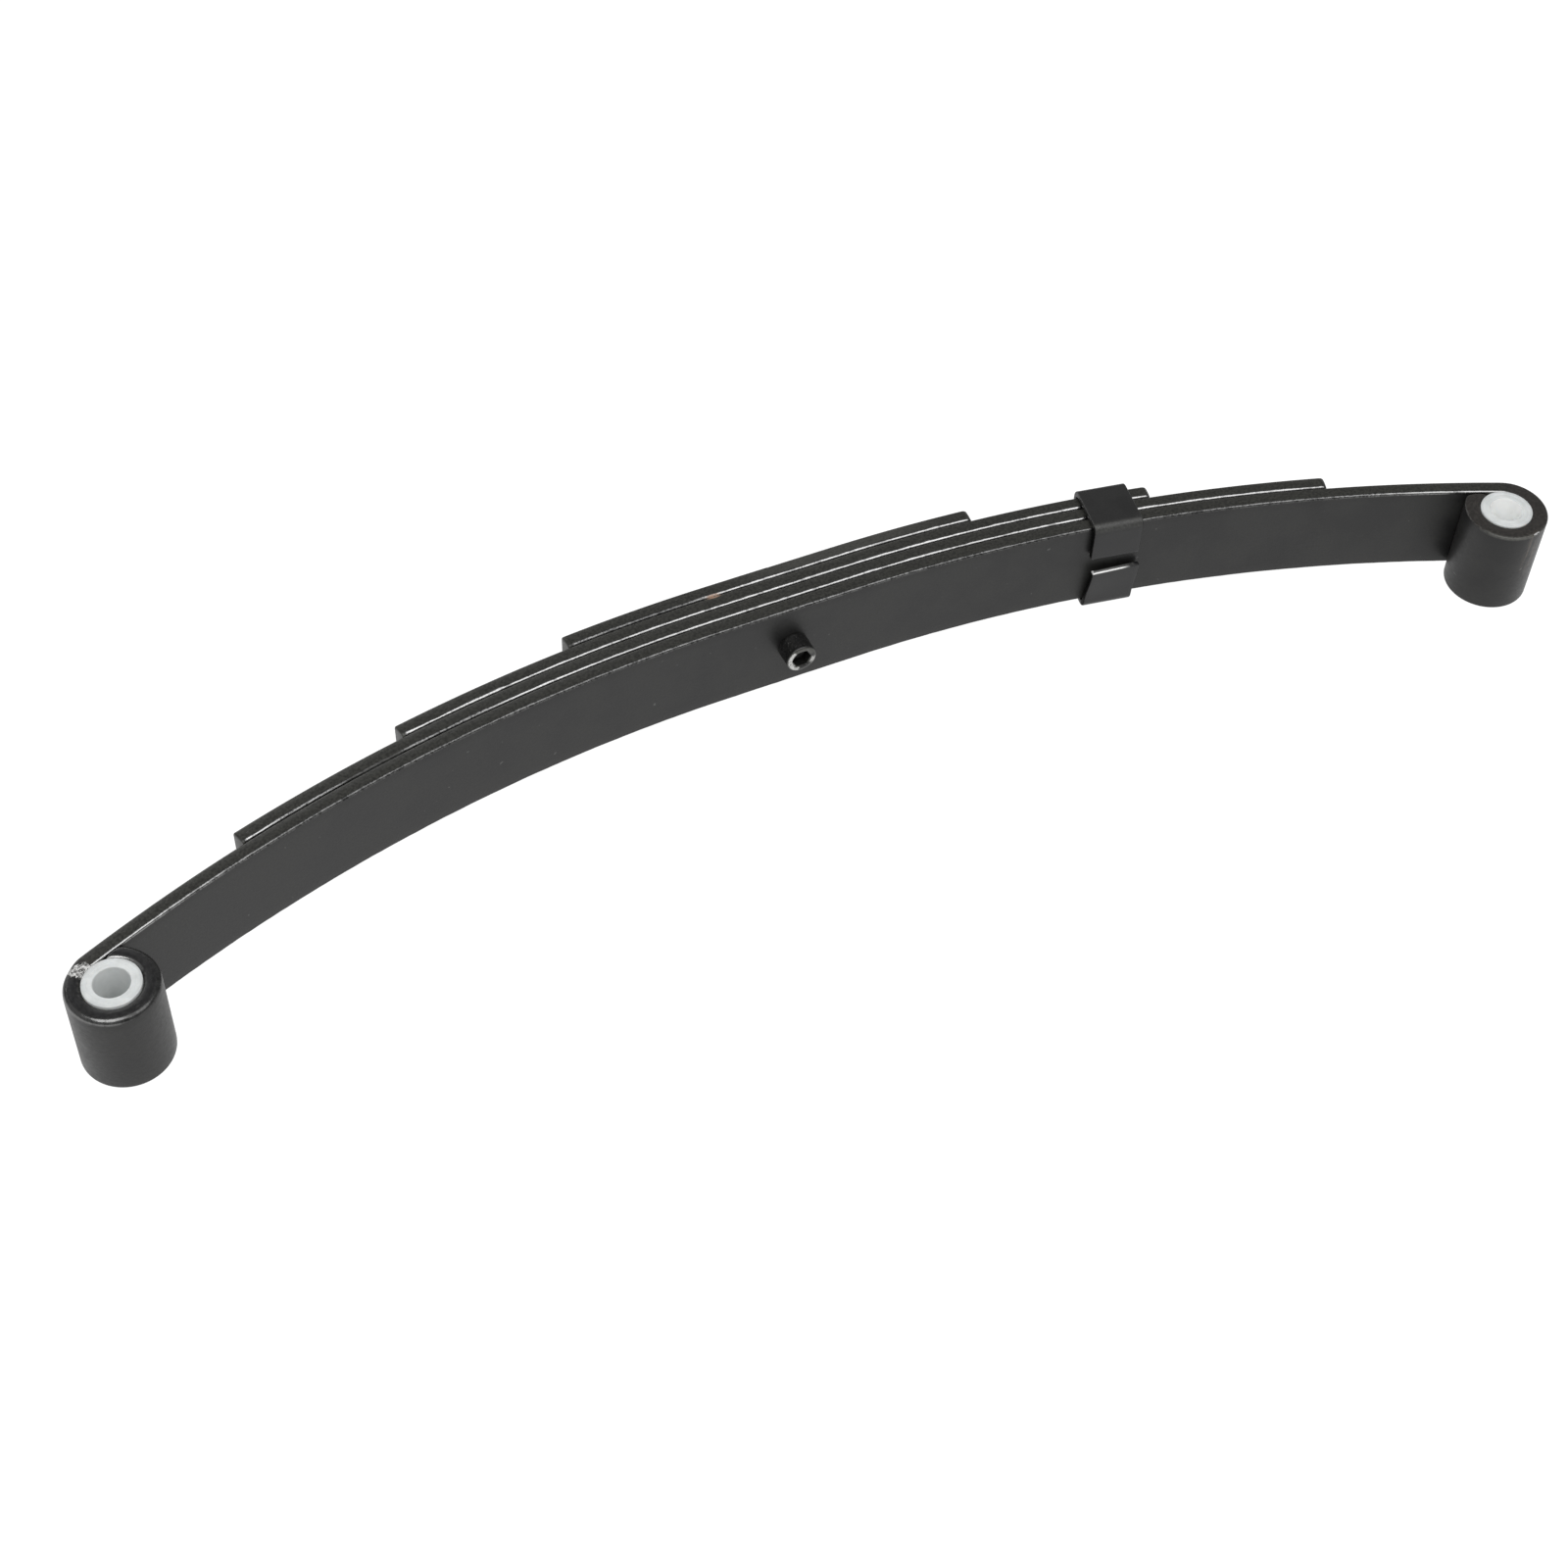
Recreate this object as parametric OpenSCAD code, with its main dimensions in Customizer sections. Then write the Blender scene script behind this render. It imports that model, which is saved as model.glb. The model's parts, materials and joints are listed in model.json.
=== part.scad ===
// Four-leaf, double-eye trailer leaf spring, lying on its side.
// +X runs from the front eye to the rear eye and +Z runs across the leaves, along both
// eye bores. The concave side of the arch faces -Y and the short leaves lie towards +Y.
// The origin is where the centre bolt's axis meets the main leaf's concave seat face,
// half way across the leaf.

/* [Spring] */
// Distance between the axes of the two eyes
eye_span = 641.35; // [560:0.05:700]
// Width of every leaf
leaf_w = 44.45; // [38:0.05:60]
// Thickness of every leaf
leaf_t = 7; // [5:0.1:9]
// Paint film between two neighbouring leaves
leaf_gap = 0.1; // [0.05:0.05:0.3]
// Concave radius of the main leaf outside the flat seat
arch_r = 730; // [650:5:1200]
// Half the length of the flat seat where the axle clamps
seat_half = 30; // [20:1:45]

/* [Short leaves] */
// Reach of the second leaf from the centre, along the main leaf
second_reach = 256; // [230:1:275]
// Reach of the third leaf from the centre, along the main leaf
third_reach = 176; // [172:1:220]
// Reach of the fourth leaf from the centre, along the main leaf
fourth_reach = 95; // [70:1:130]

/* [Eyes and bushes] */
// Bore of the nylon bushes, for the hanger bolts
bush_bore_d = 14.3; // [12:0.1:16]
// Outer diameter of the nylon bushes
bush_d = 23.2; // [20:0.1:26]
// Length of the bushes, a little proud of the leaf on both sides
bush_len = 45.2; // [44.5:0.1:62]
// Chamfer on the rims of the bushes
bush_chamfer = 0.5; // [0.2:0.1:1]
// Radial running clearance between a bush and its eye
eye_clearance = 0.05; // [0.01:0.01:0.1]
// Angle left open between the front eye's roll tip and the leaf
front_tip_angle = 53; // [53:1:80]
// Angle left open between the rear eye's roll tip and the leaf
rear_tip_angle = 58; // [53:1:80]

/* [Centre bolt] */
// Thread diameter of the centre bolt
bolt_d = 9.53; // [8:0.01:12]
// Diameter of the socket head
head_d = 14.29; // [13:0.01:18]
// Height of the socket head
head_h = 9.53; // [8:0.01:12]
// Chamfer round the free face of the head
head_chamfer = 0.5; // [0.2:0.1:1]
// Width across flats of the hexagon socket
socket_af = 7.94; // [6:0.01:10]
// Depth of the hexagon socket
socket_depth = 5; // [3:0.5:7]
// Width across flats of the nut
nut_af = 14.29; // [13:0.01:19]
// Height of the nut
nut_h = 8.3; // [6:0.1:10]
// Length of thread left standing out of the nut
thread_out = 2; // [1:0.5:5]
// Radial clearance of the bolt in the leaves' holes
hole_clearance = 0.3; // [0.1:0.1:0.5]

/* [Rebound clip] */
// Distance of the clip's middle from the centre bolt, along the main leaf
clip_at = 154.5; // [140:0.5:160]
// Width of the strap along the leaf
clip_w = 23; // [18:1:28]
// Thickness of the strap
clip_t = 2.5; // [2:0.1:4]
// Inner radius of the strap's bends
clip_bend = 1.5; // [1:0.5:3]
// Clearance between the strap and the leaves' edges
clip_side_gap = 0.5; // [0.3:0.1:1.5]
// Clearance between the strap's arms and the main leaf
clip_front_gap = 1; // [0.5:0.1:2]
// Height where the upper arm ends
upper_arm_end = 6; // [2:1:12]
// Height where the lower arm ends
lower_arm_end = -2; // [-8:1:0]
// Shank diameter of the rivet through the strap and the third leaf
rivet_d = 5; // [4:0.5:7]
// Diameter of the rivet's button head
rivet_head_d = 10; // [8:0.5:12]
// Height of the rivet's button head
rivet_head_h = 2.5; // [2:0.1:4]

/* [Hidden] */

leaf_pitch = leaf_t + leaf_gap;
eye_in_r = bush_d / 2 + eye_clearance;
roll_proud = 0.1;                                     // the roll's step out of the leaf's face
roll_overlap = 7;                                     // degrees of roll buried in the leaf
eye_path_r = arch_r - eye_in_r + roll_proud;          // eye axis to the centre of its arc
eye_angle = asin((eye_span / 2 - seat_half) / eye_path_r);
leaf_hole_d = bolt_d + 2 * hole_clearance;
stack_t = 4 * leaf_pitch - leaf_gap;
clip_back = 3 * leaf_pitch - leaf_gap + 0.1;          // back face of the third leaf, plus paint
clip_inner_h = leaf_w / 2 + clip_side_gap;
bedding = leaf_gap / 2;                               // head and nut sink through the paint
cut = 1;                                              // overshoot of cutting tools

ARC_FN = 1440;                                        // smoothness of the long arcs
EYE_FN = 96;                                          // smoothness of the eyes
PIN_FN = 64;                                          // smoothness of bolts, bores and rivets

paint = "#2b2b2d";
steel = "#4a4a4c";
nylon = "#e9e9e6";

// Angle of the arc at a given reach along the main leaf's concave face
function reach_angle(reach) = (reach - seat_half) / arch_r * 180 / PI;

// Part of a ring of width w, from the radius r0 to r1, that runs clockwise from +Y
// through the angle a
module ring_sector(r0, r1, w, a, fn) {
    rotate([0, 0, 90]) mirror([0, 1, 0])
        rotate_extrude(angle = a, $fn = fn)
            translate([r0, -w / 2]) square([r1 - r0, w]);
}

// One curved arm of leaf number i towards +X, ending square at the angle a
module arm(i, a, w) {
    r = arch_r + i * leaf_pitch;
    translate([seat_half, -arch_r, 0]) ring_sector(r, r + leaf_t, w, a, ARC_FN);
}

// The flat middle of leaf number i
module seat(i, w) {
    translate([-seat_half, i * leaf_pitch, -w / 2])
        cube([2 * seat_half, leaf_t, w]);
}

// Clearance hole of the centre bolt through leaf number i
module bolt_hole(i) {
    translate([0, i * leaf_pitch - cut, 0]) rotate([-90, 0, 0])
        cylinder(d = leaf_hole_d, h = leaf_t + 2 * cut, $fn = PIN_FN);
}

// Leaf number i of width w, flat in the middle and curved by the angle a to each side
module leaf(i, a, w = leaf_w) {
    difference() {
        union() {
            seat(i, w);
            arm(i, a, w);
            mirror([1, 0, 0]) arm(i, a, w);
        }
        bolt_hole(i);
    }
}

// Place a child at the axis of the rear eye
module at_eye() {
    translate([eye_span / 2, -arch_r + eye_path_r * cos(eye_angle), 0]) children();
}

// The roll of the rear eye: it carries on from the leaf's end, round the bush and back
// until the open angle is left between its tip and the leaf. It is made too wide, and too
// thick inwards, because main_leaf cuts it to size.
module eye_roll(tip_angle) {
    at_eye() rotate([0, 0, roll_overlap - eye_angle])
        ring_sector(eye_in_r - cut, eye_in_r + leaf_t, leaf_w + 4 * cut,
                    360 - tip_angle + roll_overlap, EYE_FN);
}

// The inside of the rear eye's roll
module eye_bore() {
    at_eye() cylinder(r = eye_in_r, h = leaf_w + 6 * cut, center = true, $fn = EYE_FN);
}

// Bed in the paint of an outer face, for the bolt's head or its nut, sunk along -Z
module paint_bed(d) {
    translate([0, 0, -bedding]) cylinder(d = d, h = bedding + cut, $fn = PIN_FN);
}

// Leaf with an eye rolled from each end, cut to width as one piece
module main_leaf() {
    color(paint) intersection() {
        difference() {
            union() {
                leaf(0, eye_angle, leaf_w + 2 * cut);
                eye_roll(rear_tip_angle);
                mirror([1, 0, 0]) eye_roll(front_tip_angle);
            }
            eye_bore();
            mirror([1, 0, 0]) eye_bore();
            rotate([90, 0, 0]) paint_bed(head_d + bedding);
        }
        cube([2 * eye_span, eye_span, leaf_w], center = true);
    }
}

module second_leaf() {
    color(paint) leaf(1, reach_angle(second_reach));
}

// Leaf with the rivet hole of the rebound clip near its rear end
module third_leaf() {
    color(paint) difference() {
        leaf(2, reach_angle(third_reach));
        at_clip() translate([0, 2 * leaf_pitch - cut, 0]) rotate([-90, 0, 0])
            cylinder(d = rivet_d, h = leaf_t + 2 * cut, $fn = PIN_FN);
    }
}

module fourth_leaf() {
    color(paint) difference() {
        leaf(3, reach_angle(fourth_reach));
        translate([0, stack_t, 0]) rotate([-90, 0, 0]) paint_bed(nut_af / cos(30) + bedding);
    }
}

// Hexagonal prism along Z with the given width across flats
module hex(af, h) {
    cylinder(d = af / cos(30), h = h, $fn = 6);
}

// Socket-head cap screw with its head on the concave side
module centre_bolt() {
    color(steel) rotate([-90, 0, 0]) difference() {
        union() {
            translate([0, 0, head_chamfer - head_h])
                cylinder(d = head_d, h = head_h - head_chamfer + bedding, $fn = PIN_FN);
            translate([0, 0, -head_h])
                cylinder(d1 = head_d - 2 * head_chamfer, d2 = head_d, h = head_chamfer, $fn = PIN_FN);
            cylinder(d = bolt_d, h = stack_t + nut_h + thread_out, $fn = PIN_FN);
        }
        translate([0, 0, -head_h - cut]) hex(socket_af, socket_depth + cut);
    }
}

// Hexagon nut that clamps the leaves from the convex side
module centre_bolt_nut() {
    color(steel) translate([0, stack_t - bedding, 0]) rotate([-90, 0, 0]) difference() {
        hex(nut_af, nut_h);
        translate([0, 0, -cut]) cylinder(d = bolt_d, h = nut_h + 2 * cut, $fn = PIN_FN);
    }
}

// Place a child in the clip's own frame: X along the leaf, Y outwards from the main
// leaf's concave face, Z across the leaf
module at_clip() {
    a = reach_angle(clip_at);
    translate([seat_half, -arch_r, 0]) rotate([0, 0, -a]) translate([0, arch_r, 0]) children();
}

// Flat stretch of strap between two corners of the plane across the leaf
module strap(y0, y1, z0, z1) {
    translate([-clip_w / 2, y0, z0]) cube([clip_w, y1 - y0, z1 - z0]);
}

// Quarter-round bend of the strap about the corner (y, z), starting at the angle a
module strap_bend(y, z, a) {
    translate([-clip_w / 2, y, z]) rotate([a, 0, 0]) rotate([90, 0, 90])
        rotate_extrude(angle = 90, $fn = PIN_FN)
            translate([clip_bend, 0]) square([clip_t, clip_w]);
}

// Strap bent round the main, second and third leaf, with its two ends on the concave side
module rebound_clip() {
    y0 = -clip_front_gap;
    y1 = clip_back;
    z1 = clip_inner_h;
    b = clip_bend;
    color(paint) at_clip() difference() {
        union() {
            strap(y0 - clip_t, y0, upper_arm_end, z1 - b);
            strap_bend(y0 + b, z1 - b, 90);
            strap(y0 + b, y1 - b, z1, z1 + clip_t);
            strap_bend(y1 - b, z1 - b, 0);
            strap(y1, y1 + clip_t, -z1 + b, z1 - b);
            strap_bend(y1 - b, -z1 + b, -90);
            strap(y0 + b, y1 - b, -z1 - clip_t, -z1);
            strap_bend(y0 + b, -z1 + b, 180);
            strap(y0 - clip_t, y0, -z1 + b, lower_arm_end);
        }
        translate([0, y1 - cut, 0]) rotate([-90, 0, 0])
            cylinder(d = rivet_d, h = clip_t + 2 * cut, $fn = PIN_FN);
    }
}

// Rivet through the third leaf and the strap, flush inside, with a button head outside
module clip_rivet() {
    dome_r = (pow(rivet_head_d / 2, 2) + pow(rivet_head_h, 2)) / (2 * rivet_head_h);
    back = clip_back + clip_t;
    color(paint) at_clip() rotate([-90, 0, 0]) {
        translate([0, 0, 2 * leaf_pitch])
            cylinder(d = rivet_d, h = back - 2 * leaf_pitch + cut, $fn = PIN_FN);
        intersection() {
            translate([0, 0, back + rivet_head_h - dome_r]) sphere(r = dome_r, $fn = PIN_FN);
            translate([0, 0, back]) cylinder(d = rivet_head_d, h = rivet_head_h, $fn = PIN_FN);
        }
    }
}

// Plain nylon sleeve with chamfered rims, centred on the rear eye's axis
module bush() {
    half = bush_len / 2;
    r_in = bush_bore_d / 2;
    r_out = bush_d / 2;
    c = bush_chamfer;
    color(nylon) at_eye() rotate_extrude($fn = EYE_FN)
        polygon([[r_in, -half + c], [r_in + c, -half], [r_out - c, -half], [r_out, -half + c],
                 [r_out, half - c], [r_out - c, half], [r_in + c, half], [r_in, half - c]]);
}

module front_bush() {
    mirror([1, 0, 0]) bush();
}

module rear_bush() {
    bush();
}

main_leaf();
second_leaf();
third_leaf();
fourth_leaf();
centre_bolt();
centre_bolt_nut();
rebound_clip();
clip_rivet();
front_bush();
rear_bush();
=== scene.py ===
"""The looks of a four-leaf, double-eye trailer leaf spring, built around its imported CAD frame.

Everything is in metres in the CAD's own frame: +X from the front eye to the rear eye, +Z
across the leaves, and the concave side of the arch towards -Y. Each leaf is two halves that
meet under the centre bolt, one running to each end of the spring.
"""
import json
import math
from collections import namedtuple

import bpy
from mathutils import Matrix, Vector, noise


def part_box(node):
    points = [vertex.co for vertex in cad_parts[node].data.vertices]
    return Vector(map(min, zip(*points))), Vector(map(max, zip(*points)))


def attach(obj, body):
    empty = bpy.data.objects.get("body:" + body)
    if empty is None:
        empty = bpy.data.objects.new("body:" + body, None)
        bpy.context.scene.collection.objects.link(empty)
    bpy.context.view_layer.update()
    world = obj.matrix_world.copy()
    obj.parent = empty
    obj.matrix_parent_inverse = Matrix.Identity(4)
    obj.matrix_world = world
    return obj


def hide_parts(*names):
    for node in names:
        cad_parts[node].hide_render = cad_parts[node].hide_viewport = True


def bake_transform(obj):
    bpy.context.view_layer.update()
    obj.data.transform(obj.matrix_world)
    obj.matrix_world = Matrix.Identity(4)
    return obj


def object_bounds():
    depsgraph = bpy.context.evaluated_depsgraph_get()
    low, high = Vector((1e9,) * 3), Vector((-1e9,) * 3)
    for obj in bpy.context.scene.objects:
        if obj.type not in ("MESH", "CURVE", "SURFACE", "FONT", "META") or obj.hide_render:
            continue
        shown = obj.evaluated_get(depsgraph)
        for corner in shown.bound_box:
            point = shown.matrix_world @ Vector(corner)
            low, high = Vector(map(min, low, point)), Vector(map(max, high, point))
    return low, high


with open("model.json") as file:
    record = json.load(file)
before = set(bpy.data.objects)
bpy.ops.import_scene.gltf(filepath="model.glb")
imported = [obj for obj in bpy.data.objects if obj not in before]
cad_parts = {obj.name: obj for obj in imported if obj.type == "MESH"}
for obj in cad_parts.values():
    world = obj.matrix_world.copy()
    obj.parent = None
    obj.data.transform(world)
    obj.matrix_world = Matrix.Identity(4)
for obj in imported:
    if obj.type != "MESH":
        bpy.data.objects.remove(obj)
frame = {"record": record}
CAD_BOX = [list(corner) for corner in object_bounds()]

MM = 0.001
REAR, FRONT = 1, -1
END_BODY = {REAR: "rear_end", FRONT: "front_end"}
END_NAME = {REAR: "rear", FRONT: "front"}

# Sizes of the frame
MOUNTS = {m["name"]: m for m in frame["record"]["mounts"]}
EYE_X, EYE_Y, _ = MOUNTS["rear_eye"]["pos_m"]
BORE_R = MOUNTS["rear_eye"]["dims"]["r_mm"] * MM
STACK_T = MOUNTS["clamp_face"]["pos_m"][1]
HEAD_R = MOUNTS["centre_bolt_head"]["dims"]["r_mm"] * MM
_, LEAF_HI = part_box("main_leaf")
BUSH_LO, BUSH_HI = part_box("rear_bush")
BOLT_LO, BOLT_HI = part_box("centre_bolt")
NUT_LO, NUT_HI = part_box("centre_bolt_nut")
HALF_W = LEAF_HI.z
BUSH_R = (BUSH_HI.x - BUSH_LO.x) / 2
BUSH_HALF = BUSH_HI.z
FLOOR_Z = CAD_BOX[0][2] - 0.1 * MM

# Sizes of the design that the frame doesn't state
LEAF_T = 7 * MM
LEAF_GAP = (STACK_T - 4 * LEAF_T) / 3
LEAF_PITCH = LEAF_T + LEAF_GAP
ARCH_R = 730 * MM
SEAT_HALF = 30 * MM
EYE_OUT_R = LEAF_HI.x - EYE_X
EYE_IN_R = EYE_OUT_R - LEAF_T
EYE_ANGLE = math.atan2(EYE_X - SEAT_HALF, EYE_Y + ARCH_R)
EYE_STEP = math.hypot(EYE_X - SEAT_HALF, EYE_Y + ARCH_R) + EYE_IN_R - ARCH_R
ARC_END = SEAT_HALF + ARCH_R * EYE_ANGLE
TIP_ANGLE = {REAR: math.radians(58), FRONT: math.radians(53)}
TIP_SLANT = math.radians(28)                  # how much further round a roll's inner side goes
TIP_SLANT_FROM = 9 * MM                       # where the slant starts, measured from the tip
EYE_RISE = 30 * MM                            # length over which the main leaf rises into its eye
REACH = {"second_leaf": 256 * MM, "third_leaf": 176 * MM, "fourth_leaf": 95 * MM}
LAYER = {"main_leaf": 0, "second_leaf": 1, "third_leaf": 2, "fourth_leaf": 3}
ALONG_STEP, ROUND_STEP = 1.25 * MM, 0.45 * MM  # mesh steps along the arch and round an eye
FAR = 1.0                                     # stands for any distance that is not near an end

# The centre bolt
BOLT_R = 4.765 * MM
HOLE_R = BOLT_R + 0.3 * MM
SOCKET_FLATS, SOCKET_DEPTH = 7.94 * MM, 5.0 * MM
KNURL_TEETH, KNURL_DEPTH, KNURL_PITCH = 44, 0.16 * MM, 1.0 * MM
THREAD_PITCH, THREAD_DEPTH, THREAD_IN_STACK = 1.058 * MM, 0.62 * MM, 2 * MM
SCREW_HEAD_R = HEAD_R - 0.2 * MM              # as the photo shows it, a little under the CAD's

# The rebound clip
CLIP_AT = 154.5 * MM
CLIP_W = 23 * MM
CLIP_T = 2.5 * MM
CLIP_BEND = 1.5 * MM
CLIP_ARRIS = 0.5 * MM
CLIP_FRONT = -1 * MM
CLIP_BACK = 3 * LEAF_PITCH
CLIP_HALF = HALF_W + 0.5 * MM
UPPER_ARM_END, LOWER_ARM_END = 6 * MM, -2 * MM
RIVET_R, RIVET_HEAD_R, RIVET_HEAD_H = 2.5 * MM, 5 * MM, 2.5 * MM


def smoothstep(x):
    x = min(max(x, 0.0), 1.0)
    return x * x * (3 - 2 * x)


def lerp(a, b, t):
    return a + (b - a) * t


def wander(x, wavelength, seed=0.0):
    """Smooth noise along a line, about -1 to 1, the same each run."""
    return 2 * noise.noise(Vector((x / wavelength, seed, 0.37 * seed)))


# ---------------------------------------------------------------------------- mesh helpers

SHARP = 30      # degrees between two faces from which the edge between them is sharp


def make_object(name, verts, faces, marks, material, smooth=SHARP):
    """A closed mesh with smooth faces, sharp where two faces meet at more than an angle. Its marks
    are numbers or places stored at the vertices, which its material reads by name."""
    mesh = bpy.data.meshes.new(name)
    mesh.from_pydata([tuple(v) for v in verts], [], faces)
    for key, values in marks.items():
        kind = "FLOAT_VECTOR" if isinstance(values[0], tuple) else "FLOAT"
        layer = mesh.attributes.new(key, kind, "POINT")
        if kind == "FLOAT":
            layer.data.foreach_set("value", values)
        else:
            layer.data.foreach_set("vector", [c for v in values for c in v])
    mesh.validate()
    mesh.update()
    mesh.shade_smooth()
    mesh.set_sharp_from_angle(angle=math.radians(smooth))
    piece = bpy.data.objects.new(name, mesh)
    bpy.context.scene.collection.objects.link(piece)
    mesh.materials.append(material)
    return piece


def tube_faces(rows, count, flip=False, closed=False):
    """Quads between rows of count points each, with an end face on the first and last row."""
    faces = []
    last = rows if closed else rows - 1
    for i in range(last):
        a, b = i * count, (i + 1) % rows * count
        for j in range(count):
            k = (j + 1) % count
            faces.append((a + j, a + k, b + k, b + j))
    if not closed:
        faces.append(tuple(reversed(range(count))))
        faces.append(tuple(range((rows - 1) * count, rows * count)))
    if flip:
        faces = [tuple(reversed(f)) for f in faces]
    return faces


def drill(piece, centre, axis, radius, length):
    """Cuts a round hole through a piece."""
    bpy.ops.mesh.primitive_cylinder_add(vertices=64, radius=radius, depth=length)
    tool = bpy.context.object
    tool.matrix_world = Matrix.Translation(centre) @ axis.to_track_quat("Z", "Y").to_matrix().to_4x4()
    cut = piece.modifiers.new("hole", "BOOLEAN")
    cut.operation, cut.object, cut.solver = "DIFFERENCE", tool, "EXACT"
    bpy.context.view_layer.update()
    evaluated = piece.evaluated_get(bpy.context.evaluated_depsgraph_get())
    mesh = bpy.data.meshes.new_from_object(evaluated)
    piece.modifiers.clear()
    old, piece.data = piece.data, mesh
    bpy.data.meshes.remove(old)
    mesh.name = piece.name
    mesh.shade_smooth()
    mesh.set_sharp_from_angle(angle=math.radians(SHARP))
    bpy.data.objects.remove(tool)


# ---------------------------------------------------------------------------- shader helpers

class Shader:
    """A material under construction. A socket given as a value is linked."""

    def __init__(self, name, **values):
        self.material = bpy.data.materials.new(name)
        self.material.use_nodes = True
        self.tree = self.material.node_tree
        self.bsdf = self.tree.nodes["Principled BSDF"]
        self.set(**values)

    def put(self, socket, value):
        if isinstance(value, bpy.types.NodeSocket):
            self.tree.links.new(value, socket)
        else:
            socket.default_value = value

    def set(self, **values):
        for key, value in values.items():
            self.put(self.bsdf.inputs[key.replace("_", " ")], value)

    def node(self, kind, settings, inputs):
        node = self.tree.nodes.new("ShaderNode" + kind)
        for key, value in settings.items():
            setattr(node, key, value)
        for key, value in inputs.items():
            self.put(node.inputs[key], value)
        return node

    def mark(self, name):
        """A number stored at the vertices."""
        return self.node("Attribute", {"attribute_name": name}, {}).outputs["Fac"]

    def place(self, name=None):
        """Where a point is: stored at the vertices under a name, or its place in the frame."""
        if name:
            return self.node("Attribute", {"attribute_name": name}, {}).outputs["Vector"]
        return self.node("TexCoord", {}, {}).outputs["Object"]

    def stretch(self, vector, scale):
        return self.node("VectorMath", {"operation": "MULTIPLY"}, {0: vector, 1: scale}).outputs[0]

    def noise(self, vector, size, detail=3.0, rough=0.55):
        inputs = {"Vector": vector, "Scale": 1 / size, "Detail": detail, "Roughness": rough}
        return self.node("TexNoise", {}, inputs).outputs["Fac"]

    def ramp(self, value, low, high, to_low=0.0, to_high=1.0):
        inputs = {"Value": value, "From Min": low, "From Max": high, "To Min": to_low, "To Max": to_high}
        return self.node("MapRange", {"interpolation_type": "SMOOTHSTEP"}, inputs).outputs["Result"]

    def math(self, operation, a, b=0.0):
        return self.node("Math", {"operation": operation}, {0: a, 1: b}).outputs[0]

    def times(self, *values):
        result = values[0]
        for value in values[1:]:
            result = self.math("MULTIPLY", result, value)
        return result

    def add(self, a, b):
        return self.math("ADD", a, b)

    def most(self, a, b):
        return self.math("MAXIMUM", a, b)

    def less(self, a):
        """What a leaves of 1."""
        return self.math("SUBTRACT", 1.0, a)

    def mix(self, factor, a, b):
        """Two colours mixed."""
        node = self.node("Mix", {"data_type": "RGBA"}, {0: factor, 6: a, 7: b})
        return node.outputs[2]

    def blend(self, factor, a, b):
        """Two numbers mixed."""
        return self.node("Mix", {"data_type": "FLOAT"}, {0: factor, 2: a, 3: b}).outputs[0]

    def near(self, vector, centre, radius, edge, shrink=(1.0, 1.0, 1.0)):
        """1 close to a point and 0 beyond the radius, fading over a share of it. A shrink below 1
        makes the spot longer along that axis, and 0 makes it endless."""
        shrunk = tuple(c * k for c, k in zip(centre, shrink))
        inputs = {0: self.stretch(vector, shrink), 1: shrunk}
        distance = self.node("VectorMath", {"operation": "DISTANCE"}, inputs).outputs["Value"]
        return self.ramp(distance, radius * (1 - edge), radius, 1.0, 0.0)

    def bump(self, height, depth, below=None):
        inputs = {"Height": height, "Distance": depth}
        if below:
            inputs["Normal"] = below
        return self.node("Bump", {}, inputs).outputs["Normal"]


def grey(value, warm=0.0):
    """A linear grey: slightly olive where warm is above 0, and cool where it is below 0."""
    return (value, value, value * (1 - warm), 1.0)


# ---------------------------------------------------------------------------- materials

FACE_DARK, FACE_LIGHT = grey(0.0055), grey(0.0135, 0.06)
EDGE_DARK, EDGE_LIGHT = grey(0.0130, 0.10), grey(0.0330, 0.14)
FRONT_EYE_DARK, FRONT_EYE_LIGHT = grey(0.0070, -0.05), grey(0.0120, -0.03)
REAR_EYE_DARK, REAR_EYE_LIGHT = (0.017, 0.0155, 0.014, 1.0), (0.032, 0.029, 0.026, 1.0)
GLOSS_DARK, GLOSS_LIGHT = grey(0.015), grey(0.30, 0.01)
DUST, SCRATCHED = grey(0.16, 0.08), grey(0.11, 0.02)
HANDLED, RUBBED = grey(0.045, 0.10), grey(0.13, 0.07)
RIM_RUBBED, RIM_CHIPPED = grey(0.085, 0.10), grey(0.42)
STREAK, RUST, PALE_FILM = (0.075, 0.060, 0.048, 1.0), (0.36, 0.23, 0.16, 1.0), grey(0.62, 0.02)
PAINT_IOR = 1.40
MATT = 0.65                                   # roughness of rust, film and the lower arrises

# Places of single marks, as the paint counts them: along the leaf, across its thickness, and z
HANDLED_AT = (33.33 * MM, 24.9 * MM, HALF_W)
RUST_AT = (-28.57 * MM, 21.1 * MM, 21.9 * MM)
RIM_AT = (ARC_END + 36 * MM, LEAF_T, HALF_W)
STREAK_AT = (ARC_END + 30 * MM, LEAF_T, 13.75 * MM)
CHIP_AT = (ARC_END + 29.4 * MM, 6.8 * MM, HALF_W - 0.3 * MM)


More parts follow.
